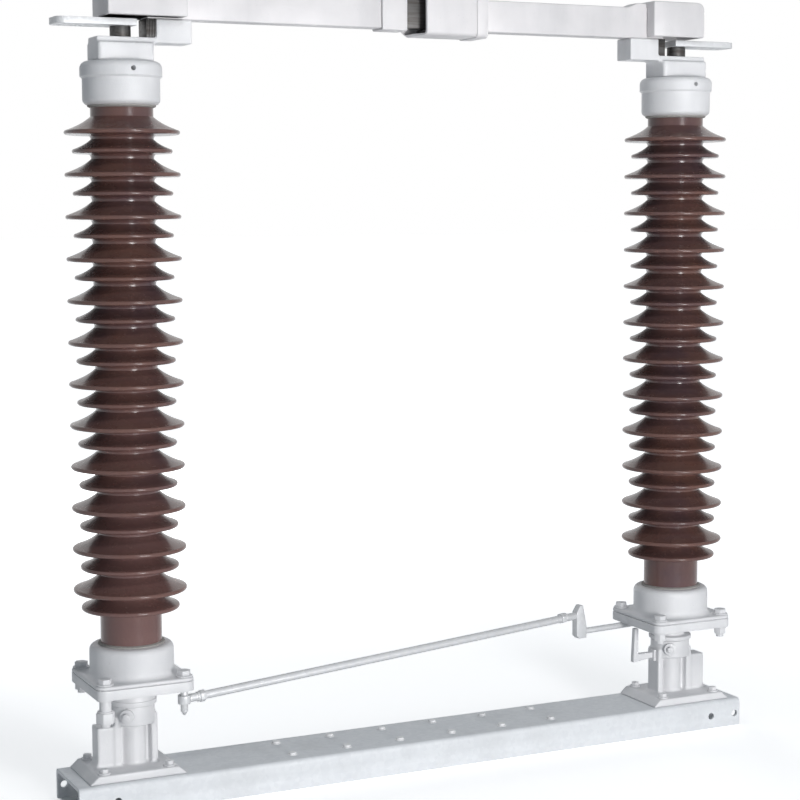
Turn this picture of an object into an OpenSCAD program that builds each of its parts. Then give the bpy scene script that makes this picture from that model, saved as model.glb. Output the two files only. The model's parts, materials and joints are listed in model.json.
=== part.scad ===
// One pole of a centre-break disconnect switch: two turning porcelain columns on a channel base.
// Lengths are in millimetres. X runs along the base, Y away from the front, Z up.
// Each column is drawn about its own axis with +X towards the middle of the switch.

/* [Base channel] */
// Distance between the two column axes
column_spacing = 1200; // [1000:10:1500]
// Length of the base channel past each column axis
channel_overhang = 128; // [115:1:200]
// Width of the channel over its flanges
channel_w = 156; // [140:1:200]
// Height of the channel flanges
channel_h = 58; // [45:1:90]
// Thickness of the channel web
channel_web_t = 7; // [5:0.5:10]
// Thickness of the channel flanges
channel_flange_t = 8; // [5:0.5:11]
// Outer corner radius of the channel
channel_corner_r = 9; // [4:0.5:12]
// Diameter of the fixing holes in the flanges
fixing_hole_d = 14; // [9:0.5:20]
// Distance between the two fixing holes at each end
fixing_pitch = 60; // [40:1:70]
// Distance from the channel's end to the first fixing hole
fixing_edge = 13; // [11:1:30]

/* [Pedestals] */
// Height of a pedestal from its foot to its bearing face
pedestal_h = 130; // [110:1:180]
// Reach of the pedestal foot towards the middle of the switch
foot_inner = 84; // [70:1:110]
// Reach of the pedestal foot towards the end of the base
foot_outer = 106; // [95:1:125]
// Length of the sloping end of the foot
foot_slope = 18; // [5:0.5:25]
// Width of the pedestal foot across the base
foot_w = 138; // [110:1:150]
// Thickness of the pedestal foot
foot_t = 16; // [8:0.5:20]
// Diameter of the pedestal's centre tube
tube_d = 46; // [42:1:54]
// Distance between the outer faces of the two side walls
wall_span = 84; // [76:1:96]
// Thickness of the side walls and the web between them
wall_t = 13; // [6:0.5:14]
// Depth of the side walls, front to back
wall_depth = 42; // [30:1:60]
// Diameter of the bearing head at the top
head_d = 82; // [70:1:84]
// Height of the bearing head
head_h = 38; // [16:1:44]
// Reach of the outer buttress from the column axis
buttress_reach = 75; // [60:1:80]
// Height of the outer buttress above the foot
buttress_h = 76; // [40:1:90]
// Depth of the outer buttress, front to back
buttress_depth = 38; // [25:1:60]

/* [Stop bracket] */
// Reach of the stop finger from the column axis
stop_reach = 95; // [78:1:98]
// Thickness of the stop bracket
stop_t = 12; // [6:0.5:14]
// Height of the stop bracket's arm above the pedestal foot
stop_rise = 81; // [40:1:85]

/* [Turntables] */
// Diameter of the bearing shaft
shaft_d = 32; // [24:1:36]
// Depth of the bearing shaft in the pedestal
shaft_depth = 76; // [40:1:90]
// Diameter of the collar that turns on the pedestal
collar_d = 90; // [88:1:96]
// Height of the turning collar
collar_h = 8.5; // [5:0.5:9]
// Diameter of the left neck, between the collar and the plate
left_neck_d = 86; // [50:1:90]
// Diameter of the right neck, which leaves room for the link's eye
right_neck_d = 60; // [40:1:61]
// Height from the bearing face to the underside of the plate
table_rise = 32; // [31:1:60]
// Thickness of the turntable's plate
table_t = 18; // [8:0.5:22]
// Radius of the plate's bolt circle
lug_bolt_r = 107; // [98:1:120]
// Width of a corner lug
lug_w = 36; // [28:1:44]

/* [Porcelain columns] */
// Height of a lower fitting
fitting_h = 65; // [50:1:90]
// Diameter of a lower fitting
fitting_d = 157; // [140:1:180]
// Thickness of the lower fitting's square flange
fitting_lug_t = 8; // [6:0.5:20]
// Radius of the hollow between the flange and the bell
fitting_flare = 10; // [4:0.5:14]
// Radius of the lower fitting's shoulder
fitting_shoulder_r = 11; // [5:0.5:14]
// Height of bare porcelain between the fittings
porcelain_h = 992; // [800:1:1300]
// Diameter of the porcelain core
core_d = 114; // [100:1:122]
// Number of pairs of sheds, one large and one small
shed_pairs = 12; // [6:1:14]
// Diameter of the large sheds
large_shed_d = 210; // [170:1:240]
// Diameter of the small sheds
small_shed_d = 182; // [150:1:210]
// Height of the first large shed above the lower fitting
first_shed_rise = 103; // [80:1:130]
// Distance from the last large shed to the upper cap
last_shed_drop = 48.5; // [40:0.5:80]
// Distance from a large shed down to the small shed below it
small_shed_drop = 34; // [28:0.5:40]
// Thickness of a shed at its tip
shed_tip_t = 8.5; // [4:0.5:9]
// Height that a large shed's upper face climbs to the core
shed_climb = 24; // [12:0.5:26]
// Radius of the hollow under a shed
shed_under_r = 8; // [3:0.5:12]
// Height of an upper cap
cap_h = 79; // [60:1:100]
// Diameter of an upper cap's skirt
cap_d = 141; // [130:1:160]
// Diameter of an upper cap above its step
cap_bead_d = 149; // [142:1:170]
// Radius of an upper cap's shoulder
cap_shoulder_r = 13; // [6:0.5:18]
// Depth of the porcelain inside each fitting
socket_depth = 40; // [25:1:48]

/* [Contact seats] */
// Length of the seat block along the arm
seat_l = 106; // [90:1:120]
// Width of the seat block
seat_w = 74; // [60:1:90]
// Height of the seat block
seat_h = 33; // [20:1:50]
// Thickness of the ledge on the seat block
ledge_t = 10; // [6:0.5:16]
// Width of the ledge and the pillar
ledge_w = 54; // [46:1:70]
// Reach of the ledge from the column axis
ledge_reach = 128; // [122:1:150]
// Length of the pillar along the arm
pillar_l = 68; // [50:1:72]
// Height of the pillar, which is the gap that the terminal turns in
pillar_h = 34; // [30:0.5:50]
// Diameter of the hole in each upper cap
vent_d = 9; // [5:0.5:12]

/* [Arms and covers] */
// Height of an arm
arm_h = 62; // [50:1:72]
// Thickness of an arm
arm_t = 40; // [28:1:44]
// Start of an arm, measured from the column axis
arm_start = 45; // [40:1:58]
// Distance from the middle of the switch to the end of the left arm
left_arm_gap = 86; // [80:1:110]
// Distance from the middle of the switch to the end of the right arm
right_arm_gap = 100; // [95:1:115]
// Reach of the left cover towards the middle
left_cover_reach = 113; // [100:1:120]
// Reach of the right cover towards the middle
right_cover_reach = 86; // [80:1:120]
// Overhang of a cover past the column axis
cover_overhang = 37; // [30:1:60]
// Width of a cover
cover_w = 98; // [80:1:120]
// Thickness of a cover's walls
cover_wall = 6; // [4:0.5:9]
// Thickness of a cover's roof
cover_roof = 12; // [8:0.5:16]
// Clear height between the pillar's top and a cover's lower edge
cover_lift = 3; // [1:0.5:6]
// Corner radius of a cover's outer end
cover_corner_r = 16; // [8:1:24]
// Length of the raised root of an arm
root_l = 44; // [20:1:60]
// Rise of the raised root of an arm
root_rise = 9; // [4:0.5:12]

/* [Centre contact] */
// Length of the left contact holder
holder_l = 53; // [40:1:60]
// Rim by which the holder and the collar stand out from the arm
holder_rim = 4; // [2:0.5:6]
// Thickness of the contact blade
blade_t = 20; // [14:0.5:24]
// Height of the contact blade
blade_h = 58; // [30:0.5:60]
// Distance from the middle of the switch to the blade's tip
blade_reach = 52; // [44:1:58]
// Clearance between the blade and the contact fingers
finger_gap = 0.6; // [0.3:0.1:1.5]
// Thickness of a contact finger
finger_t = 6; // [4:0.5:7]
// Width of a contact finger
finger_w = 10; // [6:0.5:11]
// Number of contact fingers in a row
finger_count = 3; // [2:1:3]
// Length of the block that holds the fingers
finger_block_l = 16; // [10:1:22]
// Distance from the middle of the switch to the hood's front wall
hood_mouth = 2; // [0:1:18]
// Reach of the hood's back wall past the middle of the switch
hood_back_reach = 26; // [5:1:30]
// Corner cut off the hood's back wall
hood_back_cut = 20; // [5:1:30]
// Width of the hood
hood_w = 80; // [74:1:100]
// Height of the hood
hood_h = 86; // [80:1:100]
// Thickness of the hood's walls
hood_wall = 5; // [3:0.5:6]
// Corner radius of the hood
hood_corner_r = 9; // [7:0.5:14]
// Length of the collar that closes the hood round the arm
hood_collar_l = 24; // [14:1:30]

/* [Terminals] */
// Reach of a terminal pad from the column axis
pad_reach = 126; // [120:1:180]
// Width of a terminal pad
pad_w = 64; // [56:1:80]
// Thickness of a terminal pad
pad_t = 12; // [8:0.5:14]
// Length of the pad past the column axis towards the middle
pad_tail = 22; // [16:1:30]
// Diameter of the terminal stud
stud_d = 24; // [16:1:28]
// Depth of the terminal stud in its seat
stud_depth = 30; // [15:1:40]
// Diameter of the terminal stud's shoulder
stud_shoulder_d = 38; // [32:1:48]
// Diameter of the bolt holes in a pad
pad_hole_d = 13; // [9:0.5:16]
// Distance between the pad holes along the pad
pad_hole_pitch = 40; // [34:1:44]
// Distance between the pad holes across the pad
pad_hole_spread = 36; // [28:1:40]
// Distance from the end of the pad to the first holes
pad_hole_edge = 14; // [11:1:18]

/* [Link rod] */
// Diameter of the link rod
rod_d = 16; // [12:0.5:18]
// Diameter of the link's pins
pin_d = 14; // [10:0.5:16]
// Diameter of the eyes at the ends of the link
eye_d = 24; // [20:0.5:25]
// Height of the eyes
eye_h = 15; // [12:0.5:16]
// Drop of the left eye's centre below the lug
left_eye_drop = 18; // [17:0.5:26]
// Drop of the right eye's centre below the lug
right_eye_drop = 8; // [8:0.5:9]
// Climb of the rod from its left eye to the joggle
rod_climb = 46; // [20:1:48]
// Distance from the left pin to the joggle, along the base
joggle_run = 923; // [850:1:960]
// Width of the joggle strap along the link
joggle_w = 26; // [16:0.5:34]
// Thickness of the joggle strap
joggle_t = 17; // [16.5:0.5:24]
// Height of the joggle strap above the rod's centre
joggle_rise = 22; // [12:1:30]
// Diameter of the lower bar
bar_d = 13; // [9:0.5:14]

/* [Hidden] */
$fn = 64;
// How far a cut runs past the solid that it cuts
cut_over = 2;
// Clearance of a turning shaft in its bore
running_fit = 0.05;
// Clearance of pieces that slide together and stay
seat_fit = 0.2;
// Clearance between two faces that turn on each other
turn_gap = 0.5;
// Sides of an arc that rounds an outline
arc_steps = 6;
// Straight steps in the hollow upper face of a shed
upper_steps = 6;
// Share of a shed's climb that steepens at its root
root_hollow_share = 0.3;
// Most of the free height above a shed that its upper face may take
climb_room_share = 0.74;
// Most of the height left there that the hollow under the next shed may take
hollow_room_share = 0.94;
// Height of the fixing holes in the flanges
fixing_height_share = 0.45;
// Height of the step and of the small hole on an upper cap
bead_height_share = 0.66;
vent_height_share = 0.8;
// Room between the stop finger and the plate above it
stop_clear = 4;
// Corner radius of the contact seat
seat_corner_r = 7;
// Room between a terminal pad and the cover above it
terminal_gap = 5;
// Length of arm between the hood's collar and the finger block
hood_back = 10;
// Length of the left pin below the rod, and of the right pin below its eye
left_pin_tail = 19;
right_pin_tail = 2.5;

half_spacing = column_spacing / 2;
channel_l = column_spacing + 2 * channel_overhang;
pedestal_top = channel_h + pedestal_h;
lug_under = pedestal_top + table_rise;
fitting_z = lug_under + table_t;
porcelain_z = fitting_z + fitting_h;
cap_z = porcelain_z + porcelain_h;
seat_z = cap_z + cap_h;
ledge_z = seat_z + seat_h;
pillar_z = ledge_z + ledge_t;
arm_z = pillar_z + pillar_h;
arm_mid = arm_z + arm_h / 2;
arm_top = arm_z + arm_h;
cover_z = arm_z + cover_lift;
cover_top = arm_top + cover_roof;
shed_pitch = (porcelain_h - first_shed_rise - last_shed_drop) / (shed_pairs - 1);
// Free height above a small and a large shed, which its upper face shares with the hollow of the next
small_room = small_shed_drop - shed_tip_t;
large_room = shed_pitch - small_shed_drop - shed_tip_t;
small_climb = min(shed_climb * (small_shed_d - core_d) / (large_shed_d - core_d),
                  small_room * climb_room_share);
large_climb = min(shed_climb, large_room * climb_room_share);
under_r = min(shed_under_r, hollow_room_share * min(small_room - small_climb, large_room - large_climb));
pad_z = cover_z - terminal_gap - pad_t;
fixing_z = channel_h * fixing_height_share;

// The link joins the left column's front inner corner to the right column's rear outer corner.
lug_angle = 45;
pin_x = lug_bolt_r * cos(lug_angle);
pin_y = lug_bolt_r * sin(lug_angle);
plate_w = 2 * pin_x + lug_w;
left_pin = [pin_x - half_spacing, -pin_y];
right_pin = [half_spacing + pin_x, pin_y];
link_angle = atan2(right_pin[1] - left_pin[1], right_pin[0] - left_pin[0]);
link_l = norm(right_pin - left_pin);
joggle_s = joggle_run / cos(link_angle);
rod_z = lug_under - left_eye_drop;
bar_z = lug_under - right_eye_drop;
rod_tilt = atan2(rod_climb, joggle_s);

// The hood is placed along the right arm, from the column axis.
hood_end = half_spacing - hood_mouth;
hood_root = half_spacing - right_arm_gap - hood_collar_l - hood_back;
finger_root = half_spacing - right_arm_gap + finger_block_l;

paint = "gainsboro";
zinc = "silver";
glaze = "saddlebrown";
copper = "peru";

function arc(centre, r, from, to) =
    [for (i = [0:arc_steps]) centre + r * [cos(from + (to - from) * i / arc_steps),
                                           sin(from + (to - from) * i / arc_steps)]];

module at_left() translate([-half_spacing, 0, 0]) children();
module at_right() translate([half_spacing, 0, 0]) mirror([1, 0, 0]) children();

// An outline in X and Z, made solid about Y = 0
module side_solid(outline, depth)
    rotate([90, 0, 0]) linear_extrude(depth, center = true) polygon(outline);

// An outline in Y and Z, made solid from x0 towards +X
module end_solid(outline, x0, length)
    translate([x0, 0, 0]) rotate([90, 0, 90]) linear_extrude(length) polygon(outline);

module block(from, to) translate(from) cube(to - from);

module rounded_plate(length, width, r, t) {
    linear_extrude(t) {
        square([length - 2 * r, width], center = true);
        square([length, width - 2 * r], center = true);
        for (sx = [-1, 1], sy = [-1, 1])
            translate([sx * (length / 2 - r), sy * (width / 2 - r)]) circle(r);
    }
}

function rounded_box(w, h, r, z0) = concat(
    arc([w / 2 - r, z0 + r], r, -90, 0), arc([w / 2 - r, z0 + h - r], r, 0, 90),
    arc([r - w / 2, z0 + h - r], r, 90, 180), arc([r - w / 2, z0 + r], r, 180, 270));

// Base

function channel_outline() = concat(
    [[channel_w / 2, 0]],
    arc([channel_w / 2 - channel_corner_r, channel_h - channel_corner_r], channel_corner_r, 0, 90),
    arc([channel_corner_r - channel_w / 2, channel_h - channel_corner_r], channel_corner_r, 90, 180),
    [[-channel_w / 2, 0], [channel_flange_t - channel_w / 2, 0]],
    arc([channel_flange_t + channel_corner_r - channel_w / 2, channel_h - channel_web_t - channel_corner_r],
        channel_corner_r, 180, 90),
    arc([channel_w / 2 - channel_flange_t - channel_corner_r, channel_h - channel_web_t - channel_corner_r],
        channel_corner_r, 90, 0),
    [[channel_w / 2 - channel_flange_t, 0]]);

module base_channel() color(paint) difference() {
    end_solid(channel_outline(), -channel_l / 2, channel_l);
    for (side = [-1, 1], i = [0, 1])
        translate([side * (channel_l / 2 - fixing_edge - i * fixing_pitch), 0, fixing_z])
            rotate([90, 0, 0]) cylinder(d = fixing_hole_d, h = channel_w + 2 * cut_over, center = true);
}

module pedestal() color(paint) difference() {
    body_h = pedestal_h - foot_t - head_h / 2;
    translate([0, 0, channel_h]) union() {
        side_solid([[-foot_outer, 0], [foot_inner, 0], [foot_inner - foot_slope, foot_t],
                    [foot_slope - foot_outer, foot_t]], foot_w);
        translate([0, 0, foot_t]) {
            cylinder(d = tube_d, h = body_h);
            for (side = [-1, 1])
                translate([side * (wall_span - wall_t) / 2, 0, body_h / 2])
                    cube([wall_t, wall_depth, body_h], center = true);
            translate([0, 0, body_h / 2]) cube([wall_span - wall_t, wall_t, body_h], center = true);
            side_solid(buttress_outline(), buttress_depth);
        }
        translate([0, 0, pedestal_h - head_h]) cylinder(d = head_d, h = head_h);
    }
    translate([0, 0, pedestal_top - shaft_depth - cut_over])
        cylinder(d = shaft_d + 2 * running_fit, h = shaft_depth + 2 * cut_over);
}

// The buttress climbs from the sloping end of the foot in a hollow curve and is flat on top.
function buttress_outline() =
    let (curve_r = foot_outer - foot_slope - buttress_reach)
    concat([[-wall_span / 2 + wall_t / 2, 0]],
           arc([foot_slope - foot_outer, curve_r], curve_r, -90, 0),
           [[-buttress_reach, buttress_h], [-wall_span / 2 + wall_t / 2, buttress_h]]);

module left_pedestal() at_left() pedestal();
module right_pedestal() at_right() pedestal();

module stop_bracket() color(paint) at_right() {
    base_z = channel_h + foot_t + stop_rise;
    top_z = lug_under - stop_clear;
    block([wall_span / 2, -stop_t, base_z - stop_t], [wall_span / 2 + stop_t / 2, stop_t, base_z + stop_t]);
    side_solid([
        [wall_span / 2 + stop_t / 2, base_z - stop_t / 2], [stop_reach, base_z - stop_t],
        [stop_reach, base_z], [stop_reach - stop_t / 4, top_z], [stop_reach - stop_t, top_z],
        [stop_reach - stop_t, base_z + stop_t / 2],
        [wall_span / 2 + stop_t / 2, base_z + stop_t / 2]], stop_t);
}

// Columns

// A square plate whose round corners carry the bolts
module corner_plate(t) rounded_plate(plate_w, plate_w, lug_w / 2, t);

module turntable(neck_d) {
    translate([0, 0, pedestal_top + turn_gap - shaft_depth]) cylinder(d = shaft_d, h = shaft_depth);
    translate([0, 0, pedestal_top + turn_gap]) cylinder(d = collar_d, h = collar_h);
    translate([0, 0, pedestal_top + turn_gap]) cylinder(d = neck_d, h = table_rise);
    translate([0, 0, lug_under]) corner_plate(table_t);
}

module left_turntable() color(paint) difference() {
    at_left() turntable(left_neck_d);
    translate([left_pin[0], left_pin[1], lug_under - cut_over])
        cylinder(d = pin_d + 2 * running_fit, h = table_t + 2 * cut_over);
}

module right_turntable() color(paint) at_right() turntable(right_neck_d);

module lower_fitting() color(paint) {
    difference() {
        translate([0, 0, fitting_z]) {
            rotate_extrude() polygon(concat(
                [[0, 0], [fitting_d / 2 + fitting_flare, 0]],
                arc([fitting_d / 2 + fitting_flare, fitting_lug_t + fitting_flare], fitting_flare, 270, 180),
                arc([fitting_d / 2 - fitting_shoulder_r, fitting_h - fitting_shoulder_r],
                    fitting_shoulder_r, 0, 90),
                [[0, fitting_h]]));
            corner_plate(fitting_lug_t);
        }
        translate([0, 0, porcelain_z - socket_depth])
            cylinder(d = core_d + 2 * seat_fit, h = socket_depth + cut_over);
    }
}

module left_lower_fitting() at_left() lower_fitting();
module right_lower_fitting() at_right() lower_fitting();

// A shed's outline from the hollow under it, round its tip and up its hollow upper face
function shed(d, z, climb) = concat(
    arc([core_d / 2 + under_r, z - shed_tip_t / 2 - under_r], under_r, 180, 90),
    arc([(d - shed_tip_t) / 2, z], shed_tip_t / 2, -90, 90),
    [for (i = [1:upper_steps])
        let (s = i / upper_steps, rise = s + root_hollow_share * (s * s * s - s))
        [(d - shed_tip_t) / 2 * (1 - s) + core_d / 2 * s, z + shed_tip_t / 2 + climb * rise]]);

function shed_row(k) =
    let (z = porcelain_z + first_shed_rise + k * shed_pitch)
    concat(shed(small_shed_d, z - small_shed_drop, small_climb), shed(large_shed_d, z, large_climb));

module insulator() color(glaze) rotate_extrude() polygon(concat(
    [[0, porcelain_z - socket_depth], [core_d / 2, porcelain_z - socket_depth]],
    [for (k = [0:shed_pairs - 1]) each shed_row(k)],
    [[core_d / 2, cap_z + socket_depth], [0, cap_z + socket_depth]]));

module left_insulator() at_left() insulator();
module right_insulator() at_right() insulator();

module upper_cap() color(paint) difference() {
    step = (cap_bead_d - cap_d) / 2;
    step_z = cap_z + cap_h * bead_height_share;
    edge = fitting_shoulder_r;
    rotate_extrude() polygon(concat(
        [[0, cap_z]],
        arc([cap_d / 2 - edge, cap_z + edge], edge, -90, 0),
        [[cap_d / 2, step_z - step], [cap_bead_d / 2, step_z]],
        arc([cap_bead_d / 2 - cap_shoulder_r, cap_z + cap_h - cap_shoulder_r], cap_shoulder_r, 0, 90),
        [[0, cap_z + cap_h]]));
    translate([0, 0, cap_z - cut_over]) cylinder(d = core_d + 2 * seat_fit, h = socket_depth + cut_over);
    translate([0, -cap_bead_d / 2 - cut_over, cap_z + cap_h * vent_height_share])
        rotate([-90, 0, 0]) cylinder(d = vent_d, h = cap_bead_d / 4);
}

module left_upper_cap() at_left() upper_cap();
module right_upper_cap() at_right() upper_cap();

module contact_seat() color(paint) difference() {
    union() {
        translate([0, 0, seat_z]) rounded_plate(seat_l, seat_w, seat_corner_r, seat_h);
        side_solid(concat(
            [[-seat_l / 2, ledge_z], [seat_l / 2, ledge_z - ledge_t]],
            arc([seat_l / 2 + ledge_t, ledge_z - ledge_t], ledge_t, 180, 90),
            [[ledge_reach, ledge_z], [ledge_reach, arm_z], [ledge_reach - pillar_l, arm_z],
             [ledge_reach - pillar_l, pillar_z], [-seat_l / 2, pillar_z]]), ledge_w);
    }
    translate([0, 0, pillar_z - stud_depth])
        cylinder(d = stud_d + 2 * running_fit, h = stud_depth + cut_over);
}

module left_contact_seat() at_left() contact_seat();
module right_contact_seat() at_right() contact_seat();

// Arms and covers

module arm(end, cover_reach) color(paint) side_solid([
    [arm_start, arm_z], [end, arm_z], [end, arm_top],
    [cover_reach + seat_fit + root_l, arm_top],
    [cover_reach + seat_fit + root_l / 2, arm_top + root_rise],
    [cover_reach + seat_fit, arm_top + root_rise], [cover_reach + seat_fit, arm_top],
    [arm_start, arm_top]], arm_t);

module left_arm() at_left() arm(half_spacing - left_arm_gap, left_cover_reach);
module right_arm() at_right() arm(half_spacing - right_arm_gap, right_cover_reach);

module cover(cover_reach) color(paint) difference() {
    side_solid(concat(
        [[-cover_overhang, cover_z], [cover_reach, cover_z], [cover_reach, cover_top]],
        arc([cover_corner_r - cover_overhang, cover_top - cover_corner_r],
            cover_corner_r, 90, 180)), cover_w);
    block([cover_wall - cover_overhang, cover_wall - cover_w / 2, cover_z - cut_over],
          [cover_reach - cover_wall, cover_w / 2 - cover_wall, arm_top]);
    block([arm_start, -arm_t / 2 - seat_fit, cover_z - cut_over],
          [cover_reach + cut_over, arm_t / 2 + seat_fit, arm_top]);
}

module left_cover() at_left() cover(left_cover_reach);
module right_cover() at_right() cover(right_cover_reach);

// Centre contact: the left arm carries the blade, the right arm the hood and its fingers.

module left_contact_holder() color(paint) at_left()
    end_solid(rounded_box(arm_t + 2 * holder_rim, arm_h + 2 * holder_rim, holder_rim, arm_z - holder_rim),
              half_spacing - left_arm_gap, holder_l);

module contact_blade() color(copper) at_left() {
    root = half_spacing - left_arm_gap + holder_l;
    tip = half_spacing + blade_reach - blade_t / 2;
    translate([0, 0, arm_mid - blade_h / 2]) {
        translate([root, -blade_t / 2, 0]) cube([tip - root, blade_t, blade_h]);
        translate([tip, 0, 0]) cylinder(d = blade_t, h = blade_h);
    }
}

// The hood is a square tube whose mouth is cut on a slant, so that its back wall reaches past the front.
module contact_hood() color(paint) at_right() difference() {
    hood_z = arm_mid - hood_h / 2;
    hood_start = hood_root + hood_collar_l;
    back_end = half_spacing + hood_back_reach;
    end_solid(rounded_box(hood_w, hood_h, hood_corner_r, hood_z), hood_start, back_end - hood_start);
    end_solid(rounded_box(hood_w - 2 * hood_wall, hood_h - 2 * hood_wall, hood_corner_r - hood_wall,
                          hood_z + hood_wall),
              hood_start - cut_over, back_end - hood_start + 2 * cut_over);
    translate([0, 0, hood_z - cut_over]) linear_extrude(hood_h + 2 * cut_over)
        polygon([[hood_end, -hood_w / 2 - cut_over], [hood_end, -hood_w / 2], [back_end, hood_w / 2],
                 [back_end + cut_over, hood_w / 2 + cut_over],
                 [back_end + cut_over, -hood_w / 2 - cut_over]]);
    for (low = [0, 1]) translate([0, 0, arm_mid]) mirror([0, 0, low])
        side_solid([[back_end - hood_back_cut, hood_h / 2 + cut_over], [back_end - hood_back_cut, hood_h / 2],
                    [back_end, hood_h / 2 - hood_back_cut], [back_end + cut_over, hood_h / 2 - hood_back_cut],
                    [back_end + cut_over, hood_h / 2 + cut_over]], hood_w + 2 * cut_over);
}

module hood_collar() color(paint) at_right() difference() {
    collar_rim = holder_rim / 2;
    end_solid(rounded_box(hood_w + 2 * collar_rim, hood_h + 2 * collar_rim, hood_corner_r + collar_rim,
                          arm_mid - hood_h / 2 - collar_rim), hood_root, hood_collar_l);
    block([hood_root - cut_over, -arm_t / 2 - seat_fit, arm_z - seat_fit],
          [hood_root + hood_collar_l + cut_over, arm_t / 2 + seat_fit, arm_top + seat_fit]);
}

module finger_block() color(copper) at_right() {
    half_h = blade_h / 2 + finger_gap + finger_t;
    block([half_spacing - right_arm_gap, -arm_t / 2, arm_mid - half_h],
          [finger_root, arm_t / 2, arm_mid + half_h]);
}

// A row of fingers, with their upper faces rounded off towards the mouth
module finger_row(side) color(copper) at_right() {
    pitch = arm_t / finger_count;
    tip = hood_end - finger_t;
    inner = blade_h / 2 + finger_gap;
    for (i = [0:finger_count - 1]) translate([0, (i + 0.5) * pitch - arm_t / 2, arm_mid])
        mirror([0, 0, side > 0 ? 0 : 1])
            side_solid([[finger_root, inner], [tip, inner], [tip + finger_t / 2, inner + finger_t / 2],
                        [tip, inner + finger_t], [finger_root, inner + finger_t]], finger_w);
}

module upper_fingers() finger_row(1);
module lower_fingers() finger_row(-1);

// Terminals: flat pads that turn on a stud in the contact seat

module terminal_pad() color(zinc) difference() {
    union() {
        block([-pad_reach + pad_w / 4, -pad_w / 2, pad_z], [pad_tail, pad_w / 2, pad_z + pad_t]);
        for (side = [-1, 1]) translate([pad_w / 4 - pad_reach, side * pad_w / 4, pad_z])
            cylinder(d = pad_w / 2, h = pad_t);
        block([-pad_reach, -pad_w / 4, pad_z], [pad_w / 4 - pad_reach, pad_w / 4, pad_z + pad_t]);
    }
    for (i = [0, 1], side = [-1, 1])
        translate([pad_hole_edge + i * pad_hole_pitch - pad_reach, side * pad_hole_spread / 2,
                   pad_z - cut_over])
            cylinder(d = pad_hole_d, h = pad_t + 2 * cut_over);
}

module terminal_stud() color(zinc) {
    translate([0, 0, pillar_z + turn_gap - stud_depth]) cylinder(d = stud_d, h = stud_depth);
    translate([0, 0, pillar_z + turn_gap]) cylinder(d = stud_shoulder_d, h = pad_z - pillar_z - turn_gap);
}

module left_terminal_pad() at_left() terminal_pad();
module left_terminal_stud() at_left() terminal_stud();
module right_terminal_pad() at_right() terminal_pad();
module right_terminal_stud() at_right() terminal_stud();

// Link between the columns, drawn along its own run from the left pin

module along_link() translate([left_pin[0], left_pin[1], 0]) rotate(link_angle) children();

module link_rod() color(zinc) along_link() difference() {
    translate([0, 0, rod_z]) rotate([0, 90 - rod_tilt, 0])
        cylinder(d = rod_d, h = norm([joggle_s, rod_climb]));
    translate([0, 0, rod_z - eye_d]) cylinder(d = eye_d + 2 * seat_fit, h = 2 * eye_d);
    block([joggle_s - joggle_w / 2 - seat_fit, -rod_d, rod_z + rod_climb - 2 * rod_d],
          [joggle_s + joggle_w, rod_d, rod_z + rod_climb + 2 * rod_d]);
}

module link_left_eye() color(zinc) along_link() {
    translate([0, 0, rod_z - rod_d / 2 - seat_fit]) cylinder(d = eye_d, h = rod_d + 2 * seat_fit);
    translate([0, 0, rod_z - left_pin_tail])
        cylinder(d = pin_d, h = left_pin_tail + left_eye_drop + table_t - turn_gap);
}

// The joggle is a strap with a pointed upper end.
module link_joggle() color(zinc) along_link() translate([joggle_s, 0, 0]) {
    low = bar_z - bar_d;
    shoulder = rod_z + rod_climb + rod_d / 2;
    high = rod_z + rod_climb + joggle_rise;
    side_solid([[-joggle_w / 2, low + bar_d / 2], [-joggle_w / 4, low], [joggle_w / 2, low],
                [joggle_w / 2, bar_z + bar_d], [joggle_w / 4, shoulder], [joggle_w / 8, high],
                [-joggle_w / 8, high], [-joggle_w / 2, shoulder]], joggle_t);
}

module link_lower_bar() color(zinc) along_link() difference() {
    start = joggle_s + joggle_w / 2 + seat_fit;
    translate([start, 0, bar_z]) rotate([0, 90, 0]) cylinder(d = bar_d, h = link_l - start);
    translate([link_l, 0, bar_z - eye_d]) cylinder(d = eye_d + 2 * seat_fit, h = 2 * eye_d);
}

module link_right_eye() color(zinc) along_link() translate([link_l, 0, bar_z]) {
    translate([0, 0, -eye_h / 2]) cylinder(d = eye_d, h = eye_h);
    translate([0, 0, -eye_h / 2 - right_pin_tail])
        cylinder(d = pin_d, h = eye_h / 2 + right_pin_tail + right_eye_drop - turn_gap);
}

base_channel();
left_pedestal();
right_pedestal();
stop_bracket();
left_turntable();
left_lower_fitting();
left_insulator();
left_upper_cap();
left_contact_seat();
left_arm();
left_cover();
left_contact_holder();
contact_blade();
right_turntable();
right_lower_fitting();
right_insulator();
right_upper_cap();
right_contact_seat();
right_arm();
right_cover();
contact_hood();
hood_collar();
finger_block();
upper_fingers();
lower_fingers();
link_rod();
link_left_eye();
link_joggle();
link_lower_bar();
link_right_eye();
left_terminal_pad();
left_terminal_stud();
right_terminal_pad();
right_terminal_stud();
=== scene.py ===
# Disconnect switch pole: finishes, fasteners, porcelain glaze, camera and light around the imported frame
import bpy
import bmesh
import json
import math
from mathutils import Matrix, Vector


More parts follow.
